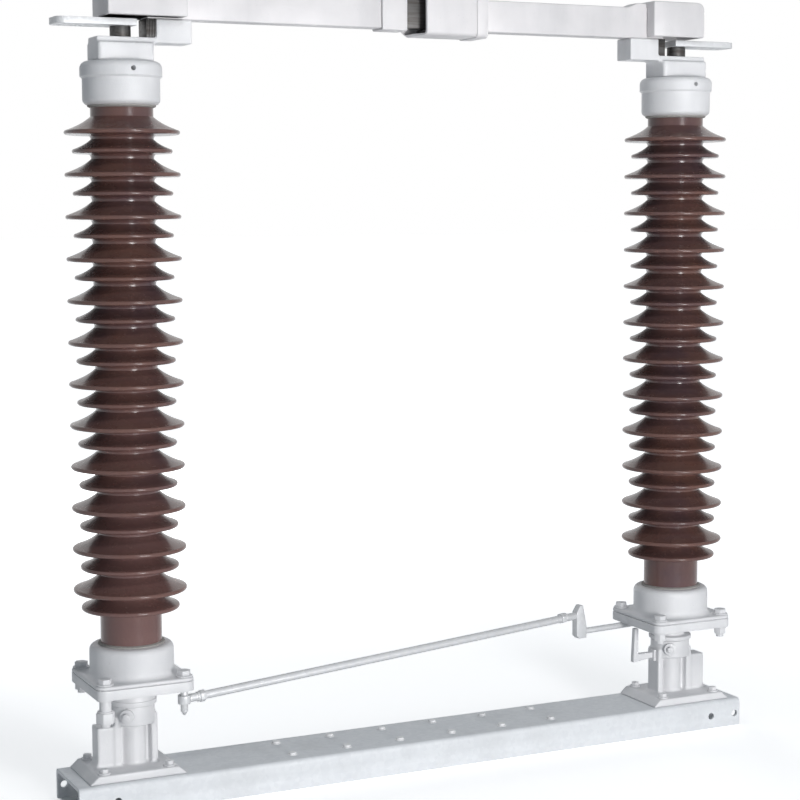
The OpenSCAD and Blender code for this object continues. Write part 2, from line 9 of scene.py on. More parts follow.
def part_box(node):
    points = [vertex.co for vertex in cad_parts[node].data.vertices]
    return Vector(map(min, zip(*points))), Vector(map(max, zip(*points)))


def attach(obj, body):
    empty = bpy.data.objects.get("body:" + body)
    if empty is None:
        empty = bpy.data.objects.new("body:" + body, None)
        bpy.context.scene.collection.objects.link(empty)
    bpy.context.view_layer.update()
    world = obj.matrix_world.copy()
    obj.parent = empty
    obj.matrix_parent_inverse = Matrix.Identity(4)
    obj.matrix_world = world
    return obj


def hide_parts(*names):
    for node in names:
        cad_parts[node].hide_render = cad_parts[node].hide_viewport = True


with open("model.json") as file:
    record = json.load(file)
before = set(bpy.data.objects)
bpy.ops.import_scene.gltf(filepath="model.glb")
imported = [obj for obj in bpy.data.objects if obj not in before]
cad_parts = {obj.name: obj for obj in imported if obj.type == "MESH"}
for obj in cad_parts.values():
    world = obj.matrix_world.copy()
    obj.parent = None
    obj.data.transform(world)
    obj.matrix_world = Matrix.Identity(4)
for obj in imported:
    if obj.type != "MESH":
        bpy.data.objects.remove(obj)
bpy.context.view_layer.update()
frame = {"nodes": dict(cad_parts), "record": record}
cadNodes = frame["nodes"]
scene = bpy.context.scene

mm = 0.001
inwardOf = {"left": 1, "right": -1}  # the way along x from each column to the middle


# small helpers for shader trees

def shaderNode(mat, kind, inputs=None, **props):
    made = mat.node_tree.nodes.new(kind)
    for key, value in props.items():
        setattr(made, key, value)
    for key, value in (inputs or {}).items():
        socket = made.inputs[key]
        if isinstance(value, bpy.types.NodeSocket):
            mat.node_tree.links.new(value, socket)
        else:
            socket.default_value = value
    return made


def newMaterial(name, **shaderValues):
    mat = bpy.data.materials.new(name)
    mat.use_nodes = True
    shader = mat.node_tree.nodes["Principled BSDF"]
    for key, value in shaderValues.items():
        shader.inputs[key.replace("_", " ")].default_value = value
    coords = shaderNode(mat, "ShaderNodeTexCoord").outputs["Object"]
    return mat, shader, coords


def noiseOf(mat, coords, scale, detail, stretch=None):
    if stretch is not None:
        coords = shaderNode(mat, "ShaderNodeMapping", {"Vector": coords, "Scale": stretch}).outputs[0]
    made = shaderNode(mat, "ShaderNodeTexNoise", {"Vector": coords, "Scale": scale, "Detail": detail})
    return made.outputs["Fac"]


def rangeOf(mat, value, low, high, toLow=0.0, toHigh=1.0):
    made = shaderNode(mat, "ShaderNodeMapRange", {"Value": value, "From Min": low, "From Max": high,
                                                 "To Min": toLow, "To Max": toHigh})
    return made.outputs["Result"]


def mixOf(mat, factor, first, second):
    made = shaderNode(mat, "ShaderNodeMix", {0: factor, 6: first, 7: second}, data_type="RGBA")
    return made.outputs[2]


def mathOf(mat, operation, first, second=0.0):
    made = shaderNode(mat, "ShaderNodeMath", {0: first, 1: second}, operation=operation)
    return made.outputs[0]


def bumpOf(mat, height, strength, distance, under=None):
    inputs = {"Height": height, "Strength": strength, "Distance": distance}
    if under is not None:
        inputs["Normal"] = under
    return shaderNode(mat, "ShaderNodeBump", inputs).outputs["Normal"]


def upwardOf(mat):
    normal = shaderNode(mat, "ShaderNodeNewGeometry").outputs["Normal"]
    return shaderNode(mat, "ShaderNodeSeparateXYZ", {0: normal}).outputs["Z"]


def feed(mat, shader, **values):
    for key, value in values.items():
        mat.node_tree.links.new(value, shader.inputs[key.replace("_", " ")])


# finishes: a noise is given by its scale and detail, a bump by its strength and depth

glaze = {
    "deep": (0.080, 0.046, 0.052, 1), "warm": (0.138, 0.067, 0.053, 1), "cloudNoise": (9.0, 5.0),
    "cloudRange": (0.35, 0.68), "roughRange": (0.3, 0.7), "rough": (0.17, 0.25),
    # the pale tone and its lean, reach and most are painted light on the foot of the left column
    "pale": (0.180, 0.096, 0.088, 1), "paintedLightLean": 0.4, "paintedLightReach": (0.14, 0.66), "paintedLightMost": 0.75,
    # the rim tone is thin glaze at the shed tips and a painted highlight along them
    "rim": (0.140, 0.066, 0.051, 1), "axisX": 0.6, "rimTintAndHighlightReach": (0.080, 0.105), "rimTintAndHighlightMost": 0.75,
    "streakNoise": (14.0, 4.0), "streakStretch": (6, 6, 0.5), "streakRange": (0.3, 0.7),
    "streakMix": (0.35, 1.0),
    # the dust tone on upward faces is dust and a painted sheen
    "dust": (0.16, 0.105, 0.09, 1), "dustAndSheenSlope": (0.55, 1.0), "dustAndSheenMost": 0.34, "dustAndSheenNoise": (38.0, 5.0),
    "dustAndSheenRange": (0.3, 0.75), "dustRough": 0.4,
    "fleckNoise": (620.0, 1.0), "fleckRange": (0.68, 0.74), "fleckMost": 0.5,
    "peelNoise": (95.0, 2.0), "peel": (0.10, 0.002),
}


def makeGlaze():
    mat, shader, coords = newMaterial("brownGlaze", IOR=1.5, Specular_IOR_Level=0.36)
    clouds = noiseOf(mat, coords, *glaze["cloudNoise"])
    colour = mixOf(mat, rangeOf(mat, clouds, *glaze["cloudRange"]), glaze["deep"], glaze["warm"])
    xyz = shaderNode(mat, "ShaderNodeSeparateXYZ", {0: coords}).outputs
    # painted light: the glaze is made paler towards the foot of the left column, for the stronger light that
    # falls there
    height = mathOf(mat, "ADD", xyz["Z"], mathOf(mat, "MULTIPLY", xyz["X"], glaze["paintedLightLean"]))
    pale = rangeOf(mat, height, *glaze["paintedLightReach"], glaze["paintedLightMost"], 0.0)
    colour = mixOf(mat, pale, colour, glaze["pale"])
    # at the shed tips it is tinted redder and lighter: the glaze is thinner there, and the lighter line is a
    # painted highlight along the rims
    offAxis = mathOf(mat, "SUBTRACT", mathOf(mat, "ABSOLUTE", xyz["X"]), glaze["axisX"])
    squares = [mathOf(mat, "POWER", part, 2.0) for part in (offAxis, xyz["Y"])]
    radius = mathOf(mat, "SQRT", mathOf(mat, "ADD", *squares))
    streaks = noiseOf(mat, coords, *glaze["streakNoise"], stretch=glaze["streakStretch"])
    rim = mathOf(mat, "MULTIPLY", rangeOf(mat, radius, *glaze["rimTintAndHighlightReach"], 0.0, glaze["rimTintAndHighlightMost"]),
                 rangeOf(mat, streaks, *glaze["streakRange"], *glaze["streakMix"]))
    colour = mixOf(mat, rim, colour, glaze["rim"])
    # what faces up is lightened: dust lies there, and the lighter tone is also a painted sheen of the light
    # from above
    dust = mathOf(mat, "MULTIPLY", rangeOf(mat, upwardOf(mat), *glaze["dustAndSheenSlope"], 0.0, glaze["dustAndSheenMost"]),
                  rangeOf(mat, noiseOf(mat, coords, *glaze["dustAndSheenNoise"]), *glaze["dustAndSheenRange"]))
    colour = mixOf(mat, dust, colour, glaze["dust"])
    flecks = noiseOf(mat, coords, *glaze["fleckNoise"])
    fleck = rangeOf(mat, flecks, *glaze["fleckRange"], 0.0, glaze["fleckMost"])
    colour = mixOf(mat, fleck, colour, glaze["deep"])
    rough = mathOf(mat, "ADD", rangeOf(mat, clouds, *glaze["roughRange"], *glaze["rough"]),
                   mathOf(mat, "MULTIPLY", dust, glaze["dustRough"]))
    peel = bumpOf(mat, noiseOf(mat, coords, *glaze["peelNoise"]), *glaze["peel"])
    feed(mat, shader, Base_Color=colour, Roughness=rough, Normal=peel)
    return mat


castCoat = {"pale": (0.775, 0.77, 0.78, 1), "shade": (0.665, 0.665, 0.68, 1), "metal": 0.06,
            "rough": (0.44, 0.60), "sandNoise": (430.0, 3.0), "sand": (0.22, 0.0012)}
armCoat = {"pale": (0.745, 0.725, 0.733, 1), "shade": (0.62, 0.605, 0.615, 1), "metal": 0.10,
           "rough": (0.46, 0.58), "sandNoise": (700.0, 3.0), "sand": (0.10, 0.0012)}
paintWear = {
    "cloudNoise": (7.0, 5.0), "cloudRange": (0.3, 0.7), "swellNoise": (26.0, 3.0), "swell": (0.16, 0.004),
    "runNoise": (9.0, 5.0), "runStretch": (2, 2, 0.4), "runRange": (0.48, 0.78), "runMost": 0.22,
    "grime": (0.36, 0.37, 0.39, 1), "speckNoise": (260.0, 2.0), "speckRange": (0.70, 0.78), "speckMost": 0.35,
    "speck": (0.45, 0.45, 0.46, 1),
}


def makeCastPaint(name, coat):
    mat, shader, coords = newMaterial(name, Metallic=coat["metal"], IOR=1.5, Specular_IOR_Level=0.22)
    clouds = noiseOf(mat, coords, *paintWear["cloudNoise"])
    colour = mixOf(mat, rangeOf(mat, clouds, *paintWear["cloudRange"]), coat["pale"], coat["shade"])
    runs = noiseOf(mat, coords, *paintWear["runNoise"], stretch=paintWear["runStretch"])
    grime = mathOf(mat, "MULTIPLY", rangeOf(mat, runs, *paintWear["runRange"]), paintWear["runMost"])
    colour = mixOf(mat, grime, colour, paintWear["grime"])
    specks = noiseOf(mat, coords, *paintWear["speckNoise"])
    speck = rangeOf(mat, specks, *paintWear["speckRange"], 0.0, paintWear["speckMost"])
    colour = mixOf(mat, speck, colour, paintWear["speck"])
    rough = rangeOf(mat, clouds, *paintWear["cloudRange"], *coat["rough"])
    sand = bumpOf(mat, noiseOf(mat, coords, *coat["sandNoise"]), *coat["sand"])
    swell = bumpOf(mat, noiseOf(mat, coords, *paintWear["swellNoise"]), *paintWear["swell"], under=sand)
    feed(mat, shader, Base_Color=colour, Roughness=rough, Normal=swell)
    return mat


channelCoat = {"pale": (0.755, 0.77, 0.79, 1), "shade": (0.68, 0.695, 0.72, 1),
               "metal": 0.06, "rough": (0.52, 0.68)}
rodCoat = {"pale": (0.66, 0.665, 0.675, 1), "shade": (0.56, 0.565, 0.58, 1),
           "metal": 0.25, "rough": (0.42, 0.55)}
boltCoat = {"pale": (0.82, 0.82, 0.825, 1), "shade": (0.74, 0.74, 0.745, 1),
            "metal": 0.06, "rough": (0.45, 0.58)}
zincWear = {
    "spangleScale": 120.0, "spangleMix": (0.1, 0.6), "rippleNoise": (120.0, 3.0), "ripple": (0.08, 0.0015),
    "stain": (0.56, 0.57, 0.58, 1), "stainNoise": (11.0, 7.0), "stainRange": (0.5, 0.75), "stainMost": 0.35,
}


def makeGalvanised(name, coat):
    mat, shader, coords = newMaterial(name, Metallic=coat["metal"], IOR=1.35)
    spangle = shaderNode(mat, "ShaderNodeTexVoronoi", {"Vector": coords, "Scale": zincWear["spangleScale"]})
    flake = shaderNode(mat, "ShaderNodeSeparateColor", {0: spangle.outputs["Color"]}).outputs["Red"]
    colour = mixOf(mat, rangeOf(mat, flake, 0.0, 1.0, *zincWear["spangleMix"]), coat["pale"], coat["shade"])
    stains = noiseOf(mat, coords, *zincWear["stainNoise"])
    stain = rangeOf(mat, stains, *zincWear["stainRange"], 0.0, zincWear["stainMost"])
    colour = mixOf(mat, stain, colour, zincWear["stain"])
    rough = rangeOf(mat, flake, 0.0, 1.0, *coat["rough"])
    ripple = bumpOf(mat, noiseOf(mat, coords, *zincWear["rippleNoise"]), *zincWear["ripple"])
    feed(mat, shader, Base_Color=colour, Roughness=rough, Normal=ripple)
    return mat


# painted shade: the contact metal is kept near black over its tarnish, for the shadow under the covers and
# inside the hood's mouth
tarnishAndShade = {
    "bare": (0.085, 0.083, 0.082, 1), "dark": (0.050, 0.042, 0.038, 1), "rubNoise": (40.0, 4.0),
    "rubStretch": (0.3, 5, 5), "rubRange": (0.45, 0.7), "roughRange": (0.3, 0.7), "rough": (0.38, 0.55),
}


def makeShadedContactMetal():
    mat, shader, coords = newMaterial("tarnishedContactPaintedShade", Metallic=0.6)
    rub = noiseOf(mat, coords, *tarnishAndShade["rubNoise"], stretch=tarnishAndShade["rubStretch"])
    colour = mixOf(mat, rangeOf(mat, rub, *tarnishAndShade["rubRange"]), tarnishAndShade["bare"], tarnishAndShade["dark"])
    rough = rangeOf(mat, rub, *tarnishAndShade["roughRange"], *tarnishAndShade["rough"])
    feed(mat, shader, Base_Color=colour, Roughness=rough)
    return mat


cement = {
    "dark": (0.25, 0.24, 0.23, 1), "pale": (0.42, 0.41, 0.39, 1), "grainNoise": (180.0, 4.0),
    "pitNoise": (320.0, 3.0), "pit": (0.4, 0.002),
}


def makeCement():
    mat, shader, coords = newMaterial("cementJoint", Roughness=0.9)
    colour = mixOf(mat, noiseOf(mat, coords, *cement["grainNoise"]), cement["dark"], cement["pale"])
    pits = bumpOf(mat, noiseOf(mat, coords, *cement["pitNoise"]), *cement["pit"])
    feed(mat, shader, Base_Color=colour, Normal=pits)
    return mat


brownGlaze = makeGlaze()
castPaint = makeCastPaint("silverCastPaint", castCoat)
armPaint = makeCastPaint("silverArmPaint", armCoat)
channelZinc = makeGalvanised("galvanisedChannel", channelCoat)
rodZinc = makeGalvanised("galvanisedRod", rodCoat)
boltZinc = makeGalvanised("zincFasteners", boltCoat)
shadedContactMetal = makeShadedContactMetal()
cementGrey = makeCement()
print("finishes made")


# small helpers for meshes

weld = {"seam": 0.02 * mm, "double": 0.002 * mm}


def addPiece(name, mesh, material, body, smooth):
    mesh.name = name
    mesh.materials.clear()
    mesh.materials.append(material)
    piece = bpy.data.objects.new(name, mesh)
    scene.collection.objects.link(piece)
    for polygon in mesh.polygons:
        polygon.use_smooth = True
    mesh.set_sharp_from_angle(angle=math.radians(smooth))
    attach(piece, body)
    return piece


def bodyOf(node):
    bodies = frame["record"]["behaviour"]["bodies"]
    return next(name for name, members in bodies.items() if node in members)


def plainName(node):
    words = node.split("_")
    return words[0] + "".join(word.title() for word in words[1:])


def meshOf(work):
    mesh = bpy.data.meshes.new("work")
    work.to_mesh(mesh)
    work.free()
    return mesh


def holderOf(name, mesh):
    holder = bpy.data.objects.new(name, mesh)
    scene.collection.objects.link(holder)
    return holder


def lathe(outline, axis, steps):
    # outline holds (radius, z) pairs from bottom to top; the ends at radius zero close on a pole
    work = bmesh.new()
    turns = [2 * math.pi * i / steps for i in range(steps)]
    rings = []
    for radius, z in outline:
        spots = [(axis[0] + radius * math.cos(turn), axis[1] + radius * math.sin(turn), z) for turn in turns]
        if radius == 0.0:
            spots = [(axis[0], axis[1], z)]
        rings.append([work.verts.new(spot) for spot in spots])
    for low, high in zip(rings, rings[1:]):
        for i in range(steps):
            j = (i + 1) % steps
            corners = [low[i % len(low)], low[j % len(low)], high[j % len(high)], high[i % len(high)]]
            unique = list(dict.fromkeys(corners))
            if len(unique) > 2:
                work.faces.new(unique)
    return meshOf(work)


def plainMesh(holder):
    # what the holder's modifiers show, as one mesh with no doubled points
    shown = holder.evaluated_get(bpy.context.evaluated_depsgraph_get())
    done = bpy.data.meshes.new_from_object(shown)
    bpy.data.objects.remove(holder)
    work = bmesh.new()
    work.from_mesh(done)
    bmesh.ops.remove_doubles(work, verts=work.verts, dist=weld["double"])
    work.to_mesh(done)
    work.free()
    return done


def seamlessCopy(node):
    work = bmesh.new()
    work.from_mesh(cadNodes[node].data)
    bmesh.ops.remove_doubles(work, verts=work.verts, dist=weld["seam"])
    return work


# porcelain

porcelain = {
    "core": 57.0 * mm, "large": 105.0 * mm, "small": 91.0 * mm, "pairs": 12, "firstRise": 103.0 * mm,
    "lastDrop": 48.5 * mm, "smallDrop": 34.0 * mm, "tip": 4.25 * mm, "climb": 24.0 * mm, "rootHollow": 0.3,
    "underFillet": 8.0 * mm, "socket": 40.0 * mm, "tipSteps": 8, "faceSteps": 9, "filletSteps": 7,
    "around": 112, "smooth": 50,
}
cementRing = {  # its section in mm, out from the core and up from the fitting's mouth
    "section": ((0.1, -2.2), (5.72, -2.2), (4.84, 2.2), (1.32, 3.96), (0.1, 4.18)),
    "around": 96, "smooth": 50,
}


def shedOutline(reach, z, climb):
    core, tip, fillet = porcelain["core"], porcelain["tip"], porcelain["underFillet"]
    points = []
    for i in range(porcelain["filletSteps"] + 1):  # hollow corner under the shed
        turn = math.radians(90) * i / porcelain["filletSteps"]
        points.append((core + fillet * (1 - math.cos(turn)), z - tip - fillet * (1 - math.sin(turn))))
    for i in range(porcelain["tipSteps"] + 1):
        turn = math.radians(-90 + 180 * i / porcelain["tipSteps"])
        points.append((reach - tip + tip * math.cos(turn), z + tip * math.sin(turn)))
    for i in range(1, porcelain["faceSteps"] + 1):  # upper face climbs to the core in a hollow curve
        s = i / porcelain["faceSteps"]
        rise = s + porcelain["rootHollow"] * (s ** 3 - s)
        points.append((reach - tip + (core - reach + tip) * s, z + tip + climb * rise))
    return points


def makePorcelain(side, mouths):
    core, large, small, climb = (porcelain[key] for key in ("core", "large", "small", "climb"))
    low, high = (corner[2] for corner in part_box(side + "_insulator"))
    first, last = mouths[0] + porcelain["firstRise"], mouths[1] - porcelain["lastDrop"]
    pitch = (last - first) / (porcelain["pairs"] - 1)
    outline = [(0.0, low), (core, low)]
    for k in range(porcelain["pairs"]):
        z = first + k * pitch
        outline += shedOutline(small, z - porcelain["smallDrop"], climb * (small - core) / (large - core))
        outline += shedOutline(large, z, climb)
    outline += [(core, high), (0.0, high)]
    mesh = lathe(outline, (columnAxis[side], 0), porcelain["around"])
    body = side + "_column"
    piece = addPiece(side + "Porcelain", mesh, brownGlaze, body, porcelain["smooth"])
    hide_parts(side + "_insulator")


def makeCementRing(name, side, mouth, way):
    # a narrow ring shows where the porcelain enters a fitting; way is 1 above a mouth that faces up
    band = [(porcelain["core"] + out * mm, mouth + way * rise * mm) for out, rise in cementRing["section"]]
    band = band[::way]
    band.append(band[0])
    mesh = lathe(band, (columnAxis[side], 0), cementRing["around"])
    addPiece(name, mesh, cementGrey, side + "_column", cementRing["smooth"])


columnAxis = {}
for side in inwardOf:
    low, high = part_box(side + "_insulator")
    columnAxis[side] = (low[0] + high[0]) / 2
    mouths = (low[2] + porcelain["socket"], high[2] - porcelain["socket"])
    makePorcelain(side, mouths)
    makeCementRing(side + "LowerCementRing", side, mouths[0], 1)
    makeCementRing(side + "UpperCementRing", side, mouths[1], -1)
print("porcelain turned")


# castings and bars

roundEdge = {
    "turntable": 2.0 * mm, "upper_cap": 1.5 * mm, "cover": 5.0 * mm, "arm": 2.5 * mm,
    "steps": 3, "flat": 1.0, "crease": 35, "smooth": 40,
}
casting = {
    "pedestal": 7, "lower_fitting": 6, "contact_seat": 6,  # passes of smoothing
    "voxel": 2.2 * mm, "relax": 0.5, "smooth": 60, "shaftBore": 16.05 * mm, "boreRoom": 1.2 * mm,
}


def softened(node, material, radius):
    # a copy of the node's shape with its seams closed and its edges rounded
    work = seamlessCopy(node)
    flat = math.radians(roundEdge["flat"])
    bmesh.ops.dissolve_limit(work, angle_limit=flat, verts=work.verts, edges=work.edges)
    holder = holderOf("softening", meshOf(work))
    bevel = holder.modifiers.new("round", "BEVEL")
    bevel.width = radius
    bevel.segments = roundEdge["steps"]
    bevel.limit_method = "ANGLE"
    bevel.angle_limit = math.radians(roundEdge["crease"])
    bevel.miter_outer = "MITER_ARC"
    bevel.use_clamp_overlap = True
    piece = addPiece(plainName(node), plainMesh(holder), material, bodyOf(node), roundEdge["smooth"])
    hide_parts(node)


def castForm(side, part):
    # a copy of the node's shape with the soft corners of a sand casting
    node = side + "_" + part
    holder = holderOf("casting", meshOf(seamlessCopy(node)))
    skin = holder.modifiers.new("skin", "REMESH")
    skin.mode = "VOXEL"
    skin.voxel_size = casting["voxel"]
    relax = holder.modifiers.new("relax", "SMOOTH")
    relax.factor = casting["relax"]
    relax.iterations = casting[part]
    done = plainMesh(holder)
    if part == "pedestal":
        clearBore(done, columnAxis[side])
    piece = addPiece(plainName(node), done, castPaint, bodyOf(node), casting["smooth"])
    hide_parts(node)


def clearBore(mesh, axisX):
    # the smoothing would close the bore on its shaft, so its wall is set back
    bore, room = casting["shaftBore"], casting["boreRoom"]
    for vertex in mesh.vertices:
        away = Vector((vertex.co.x - axisX, vertex.co.y))
        if bore - 2 * room < away.length < bore + room:
            away *= (bore + room) / away.length
            vertex.co.x, vertex.co.y = axisX + away.x, away.y


for side in inwardOf:
    for part in ("turntable", "upper_cap"):
        softened(f"{side}_{part}", castPaint, roundEdge[part])
    for part in ("cover", "arm"):
        softened(f"{side}_{part}", armPaint, roundEdge[part])
    for part in ("pedestal", "lower_fitting", "contact_seat"):
        castForm(side, part)
    softened(f"{side}_terminal_pad", rodZinc, 1.5 * mm)
    # painted shade: the studs take the dark contact finish for the shadow under the covers
    softened(f"{side}_terminal_stud", shadedContactMetal, 1.0 * mm)
softened("base_channel", channelZinc, 1.0 * mm)
softened("stop_bracket", castPaint, 1.5 * mm)
softened("left_contact_holder", armPaint, 1.5 * mm)
softened("contact_hood", armPaint, 1.0 * mm)
softened("hood_collar", armPaint, 1.5 * mm)
# painted shade: blade and fingers take the dark contact finish for the shadow inside the hood
softened("contact_blade", shadedContactMetal, 2.0 * mm)
for node in ("finger_block", "upper_fingers", "lower_fingers"):
    softened(node, shadedContactMetal, 1.0 * mm)
for node in ("link_rod", "link_left_eye", "link_joggle", "link_lower_bar", "link_right_eye"):
    softened(node, rodZinc, 1.0 * mm)
print("castings softened")


# fasteners by Geometry Nodes: hexagon heads on washers, set at points that carry the way they face

boltDefault = {
    "Head width": 20.0 * mm, "Head height": 8.0 * mm, "Washer width": 26.0 * mm, "Washer height": 2.5 * mm,
    "Shank width": 12.0 * mm, "Shank height": 12.0 * mm,
}
fastener = {
    "headSides": 6, "washerSides": 28, "shankSides": 16, "edge": 0.8 * mm, "edgeSteps": 2, "smooth": 35,
    "shankShare": 0.45, "tailShare": 0.5,  # of the head's width and height
}


def newTree(name):
    tree = bpy.data.node_groups.new(name, "GeometryNodeTree")
    tree.interface.new_socket("Geometry", in_out="INPUT", socket_type="NodeSocketGeometry")
    return tree


def newInput(tree, name, kind, value=None):
    socket = tree.interface.new_socket(name, in_out="INPUT", socket_type="NodeSocket" + kind)
    if value is not None:
        socket.default_value = value
    return socket.identifier


def setAtPoints(tree, source, shape, turn=None):
    # the shape at every point, made real and coated
    add = tree.nodes.new
    link = tree.links.new
    tree.interface.new_socket("Geometry", in_out="OUTPUT", socket_type="NodeSocketGeometry")
    place = add("GeometryNodeInstanceOnPoints")
    link(source.outputs["Geometry"], place.inputs["Points"])
    link(shape, place.inputs["Instance"])
    if turn is not None:
        link(turn, place.inputs["Rotation"])
    real = add("GeometryNodeRealizeInstances")
    link(place.outputs[0], real.inputs[0])
    coat = add("GeometryNodeSetMaterial")
    link(real.outputs[0], coat.inputs["Geometry"])
    link(source.outputs["Finish"], coat.inputs["Material"])
    link(coat.outputs[0], add("NodeGroupOutput").inputs[0])


def stripTree():
    tree = newTree("contactStrips")
    inputs = {"Strip size": newInput(tree, "Strip size", "Vector")}
    inputs["Finish"] = newInput(tree, "Finish", "Material")
    source = tree.nodes.new("NodeGroupInput")
    strip = tree.nodes.new("GeometryNodeMeshCube")
    tree.links.new(source.outputs["Strip size"], strip.inputs["Size"])
    setAtPoints(tree, source, strip.outputs["Mesh"])
    return tree, inputs


def boltTree():
    tree = newTree("hexBolts")
    inputs = {name: newInput(tree, name, "Float", size) for name, size in boltDefault.items()}
    inputs["Head sides"] = newInput(tree, "Head sides", "Int", fastener["headSides"])
    inputs["Finish"] = newInput(tree, "Finish", "Material")
    add = tree.nodes.new
    link = tree.links.new
    source = add("NodeGroupInput")

    def half(socket):
        made = add("ShaderNodeMath")
        made.operation = "MULTIPLY"
        made.inputs[1].default_value = 0.5
        link(socket, made.inputs[0])
        return made.outputs[0]

    def plus(first, second):
        made = add("ShaderNodeMath")
        link(first, made.inputs[0])
        link(second, made.inputs[1])
        return made.outputs[0]

    def disc(part, lift, sides):
        made = add("GeometryNodeMeshCylinder")
        if isinstance(sides, int):
            made.inputs["Vertices"].default_value = sides
        else:
            link(sides, made.inputs["Vertices"])
        link(half(source.outputs[part + " width"]), made.inputs["Radius"])
        link(source.outputs[part + " height"], made.inputs["Depth"])
        place = add("GeometryNodeTransform")
        offset = add("ShaderNodeCombineXYZ")
        link(lift, offset.inputs["Z"])
        link(offset.outputs[0], place.inputs["Translation"])
        link(made.outputs["Mesh"], place.inputs["Geometry"])
        return place.outputs[0]

    washer, head, shank = (source.outputs[part + " height"] for part in ("Washer", "Head", "Shank"))
    join = add("GeometryNodeJoinGeometry")
    for part in (disc("Washer", half(washer), fastener["washerSides"]),
                 disc("Head", plus(washer, half(head)), source.outputs["Head sides"]),
                 disc("Shank", half(shank), fastener["shankSides"])):
        link(part, join.inputs[0])
    facing = add("GeometryNodeInputNamedAttribute")
    facing.data_type = "FLOAT_VECTOR"
    facing.inputs["Name"].default_value = "facing"
    turn = add("FunctionNodeAlignRotationToVector")
    turn.axis = "Z"
    link(facing.outputs["Attribute"], turn.inputs["Vector"])
    setAtPoints(tree, source, join.outputs[0], turn.outputs[0])
    return tree, inputs


def grow(name, places, tree, values, body, material, edge):
    # places holds (point, facing) pairs; the tree's result becomes one plain mesh
    mesh = bpy.data.meshes.new(name)
    mesh.from_pydata([tuple(point) for point, way in places], [], [])
    facing = mesh.attributes.new("facing", "FLOAT_VECTOR", "POINT")
    for i, (point, way) in enumerate(places):
        facing.data[i].vector = way
    holder = holderOf(name + "Points", mesh)
    modifier = holder.modifiers.new("grow", "NODES")
    modifier.node_group = tree
    for identifier, value in values.items():
        modifier[identifier] = value
    bevel = holder.modifiers.new("edge", "BEVEL")
    bevel.width = edge
    bevel.segments = fastener["edgeSteps"]
    bevel.limit_method = "ANGLE"
    addPiece(name, plainMesh(holder), material, body, fastener["smooth"])


hexTree, hexInput = boltTree()
up, down = Vector((0, 0, 1)), Vector((0, 0, -1))


def hexBolts(name, places, body, bolt, finish=castPaint):
    # bolt holds the widths and heights of the head, its washer and the shank that shows beyond it
    values = {
        hexInput["Head width"]: bolt["head"],
        hexInput["Head height"]: bolt["height"],
        hexInput["Washer width"]: bolt["washer"],
        hexInput["Washer height"]: bolt.get("washerHeight", boltDefault["Washer height"]),
        hexInput["Shank width"]: bolt.get("shank", bolt["head"] * fastener["shankShare"]),
        hexInput["Shank height"]: bolt.get("tail", bolt["height"] * fastener["tailShare"]),
        hexInput["Head sides"]: bolt.get("sides", fastener["headSides"]),
        hexInput["Finish"]: finish,
    }
    grow(name, places, hexTree, values, body, finish, bolt.get("edge", fastener["edge"]))


# bolts through the corners of each fitting and turntable; the link passes under the corners without nuts
lug = {
    "boltR": 107.0 * mm, "flange": 8.0 * mm, "plate": 18.0 * mm, "corners": (45, 135, 225, 315),
    "nutCorners": {"left": (135,), "right": (225, 315)}, "linkCorner": 315,
    "bolt": {"head": 26.0 * mm, "height": 9.0 * mm, "washer": 32.0 * mm},
    "nut": {"head": 26.0 * mm, "height": 13.0 * mm, "washer": 32.0 * mm, "shank": 16.0 * mm,
            "tail": 22.0 * mm},
}


def lugPoints(side, z, angles):
    return [Vector((columnAxis[side] + lug["boltR"] * math.cos(math.radians(a)),
                    lug["boltR"] * math.sin(math.radians(a)), z)) for a in angles]


def plateUnder(side):
    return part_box(side + "_turntable")[1][2] - lug["plate"]


for side in inwardOf:
    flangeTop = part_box(side + "_lower_fitting")[0][2] + lug["flange"]
    above = lugPoints(side, flangeTop, lug["corners"])
    below = lugPoints(side, plateUnder(side), lug["nutCorners"][side])
    hexBolts(side + "LugBolts", [(p, up) for p in above], side + "_column", lug["bolt"])
    hexBolts(side + "LugNuts", [(p, down) for p in below], side + "_column", lug["nut"])
print("corner bolts set")

# drive pin under the left plate's front corner
drivePin = {
    "angle": 225, "collar": {"head": 22.0 * mm, "height": 22.0 * mm, "washer": 32.0 * mm, "sides": 24},
    "nut": {"head": 36.0 * mm, "height": 20.0 * mm, "washer": 30.0 * mm, "shank": 18.0 * mm,
            "tail": 30.0 * mm, "edge": 1.1 * mm},
}
corner = lugPoints("left", plateUnder("left"), (drivePin["angle"],))[0]
hexBolts("drivePinCollar", [(corner, down)], "left_column", drivePin["collar"])
corner = corner + drivePin["collar"]["height"] * down
hexBolts("drivePinNut", [(corner, down)], "left_column", drivePin["nut"])

footBolt = {
    "inner": 52.0 * mm, "outer": 74.0 * mm, "spread": 54.0 * mm, "foot": 16.0 * mm,
    "bolt": {"head": 17.0 * mm, "height": 7.0 * mm, "washer": 24.0 * mm},
}
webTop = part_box("base_channel")[1][2]
for side, inward in inwardOf.items():
    spots = [Vector((columnAxis[side] + inward * x, y, webTop + footBolt["foot"]))
             for x in (footBolt["inner"], -footBolt["outer"])
             for y in (-footBolt["spread"], footBolt["spread"])]
    hexBolts(side + "FootBolts", [(p, up) for p in spots], "base", footBolt["bolt"])
print("foot bolts set")

